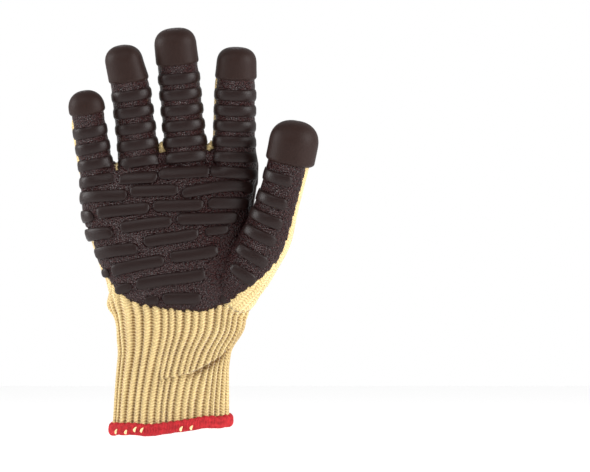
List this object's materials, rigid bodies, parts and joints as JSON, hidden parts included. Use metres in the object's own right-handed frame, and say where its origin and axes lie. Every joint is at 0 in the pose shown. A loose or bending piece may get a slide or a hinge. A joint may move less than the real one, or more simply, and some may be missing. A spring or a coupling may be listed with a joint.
{
  "type": "anti vibration glove",
  "caption": "Right-hand knitted work glove with a ribbed cuff and a rubber-coated palm side that carries solid fingertip caps and rows of cushioning rubber bars.",
  "frame": {"origin": "middle of the wrist opening, at the lowest edge of the overlock hem", "axes": "+Z along the hand to the fingertips, -Y out of the palm, +X to the thumb side"},
  "size_m": [0.1551, 0.0517, 0.2541],
  "materials": {
    "knit": "matt cream knit yarn",
    "hem": "matt red overlock thread",
    "coating": "thin rubber skin with a grainy face",
    "rubber": "smooth satin rubber"
  },
  "bodies": {
    "root": {"knit_hand": "knit", "rib_cuff": "knit", "little_stall": "knit", "ring_stall": "knit", "middle_stall": "knit", "index_stall": "knit", "thumb_stall": "knit", "overlock_hem": "hem", "palm_coating": "coating", "web_band": "rubber", "little_cap": "rubber", "ring_cap": "rubber", "middle_cap": "rubber", "index_cap": "rubber", "thumb_cap": "rubber", "little_bar_1": "rubber", "little_bar_2": "rubber", "little_bar_3": "rubber", "little_bar_4": "rubber", "ring_bar_1": "rubber", "ring_bar_2": "rubber", "ring_bar_3": "rubber", "ring_bar_4": "rubber", "ring_bar_5": "rubber", "middle_bar_1": "rubber", "middle_bar_2": "rubber", "middle_bar_3": "rubber", "middle_bar_4": "rubber", "middle_bar_5": "rubber", "middle_bar_6": "rubber", "index_bar_1": "rubber", "index_bar_2": "rubber", "index_bar_3": "rubber", "index_bar_4": "rubber", "index_bar_5": "rubber", "index_bar_6": "rubber", "thumb_bar_1": "rubber", "thumb_bar_2": "rubber", "thumb_bar_3": "rubber", "thumb_bar_4": "rubber", "thumb_bar_5": "rubber", "thumb_bar_6": "rubber", "palm_bar_1a": "rubber", "palm_bar_1b": "rubber", "palm_bar_2a": "rubber", "palm_bar_2b": "rubber", "palm_bar_2c": "rubber", "palm_bar_3a": "rubber", "palm_bar_3b": "rubber", "palm_bar_3c": "rubber", "palm_bar_3d": "rubber", "palm_bar_4a": "rubber", "palm_bar_4b": "rubber", "palm_bar_4c": "rubber", "palm_bar_5a": "rubber", "palm_bar_5b": "rubber", "palm_bar_6a": "rubber", "palm_bar_6b": "rubber", "palm_bar_7a": "rubber", "palm_bar_8a": "rubber"}
  },
  "joints": []
}
